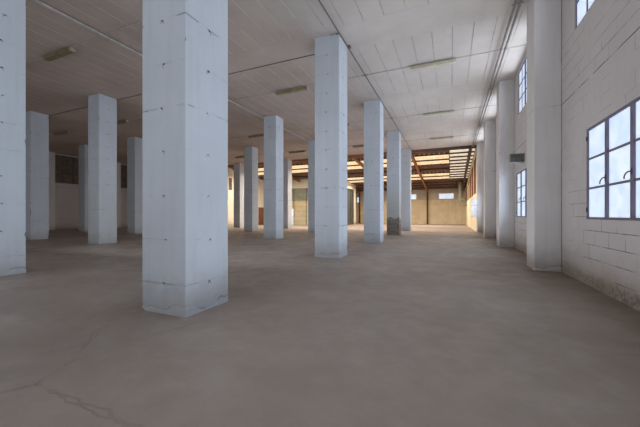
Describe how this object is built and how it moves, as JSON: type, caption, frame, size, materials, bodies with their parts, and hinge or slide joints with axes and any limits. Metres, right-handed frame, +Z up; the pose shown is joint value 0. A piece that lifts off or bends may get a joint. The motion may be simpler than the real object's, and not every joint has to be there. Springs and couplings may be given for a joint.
{
  "type": "factory building",
  "caption": "Concrete-framed factory hall with square white columns, block walls and steel windows, and a steel lean-to shed with skylights behind it.",
  "frame": {"origin": "centre of the building's bounding box in plan, on the ground", "axes": "+Y runs from the front wall of the hall to the far wall of the shed, +X points out of the right-hand wall, +Z is up"},
  "size_m": [27.69, 39.6936, 6.34],
  "materials": {
    "floor_screed": "dusty worn cement screed",
    "white_paint": "white paint on cast concrete, chipped at the edges",
    "painted_block": "white paint on concrete block",
    "soffit_concrete": "painted precast planks",
    "coping_stone": "cast concrete",
    "window_steel": "dark paint on rolled steel bars",
    "window_white": "white paint on steel bars",
    "frosted_glass": "frosted glass",
    "lamp_shell": "aged enamel",
    "conduit_metal": "dull grey paint",
    "cabinet_white": "white enamel",
    "duct_zinc": "dull zinc-coated sheet",
    "rusty_steel": "red oxide paint with rust",
    "roof_sheet": "weathered ribbed sheet",
    "skylight_sheet": "translucent ribbed sheet",
    "tan_render": "smooth cement render",
    "gate_paint": "faded green and tan paint",
    "brown_paint": "brown paint"
  },
  "bodies": {
    "building": {"hall_floor": "floor_screed", "shed_floor": "floor_screed", "columns_row_1": "white_paint", "columns_row_2": "white_paint", "columns_row_3": "white_paint", "columns_row_4": "white_paint", "columns_row_5": "white_paint", "right_pilasters": "white_paint", "left_pilasters": "white_paint", "front_pilasters": "white_paint", "right_wall": "painted_block", "left_wall": "painted_block", "front_wall": "painted_block", "rear_wall": "painted_block", "roof_slab": "soffit_concrete", "parapet": "painted_block", "parapet_coping": "coping_stone", "right_lower_windows": "window_steel", "right_upper_windows": "window_steel", "front_windows": "window_steel", "left_windows": "window_steel", "window_glass": "frosted_glass", "window_sills": "coping_stone", "ceiling_lamps": "lamp_shell", "ceiling_conduits": "conduit_metal", "wall_pipes": "conduit_metal", "wall_unit": "conduit_metal", "meter_cabinets": "cabinet_white", "shed_duct": "duct_zinc", "shed_ledger": "rusty_steel", "shed_rafters": "rusty_steel", "shed_posts": "rusty_steel", "shed_purlins": "rusty_steel", "shed_roof_sheets": "roof_sheet", "shed_skylights": "skylight_sheet", "shed_right_wall": "tan_render", "shed_left_wall": "painted_block", "gate_wall": "painted_block", "gate_lintels": "painted_block", "return_wall": "painted_block", "far_wall": "tan_render", "far_windows": "window_white", "sectional_gates": "gate_paint", "side_door_frame": "brown_paint"},
    "side_door": {"side_door": "brown_paint"}
  },
  "joints": [
    {"name": "side_door_hinge", "type": "hinge", "parent": "building", "child": "side_door", "pos_m": [-6.841, 9.193, 1.05], "axis": [0, 0, 1], "range_deg": [-100, 0]}
  ]
}
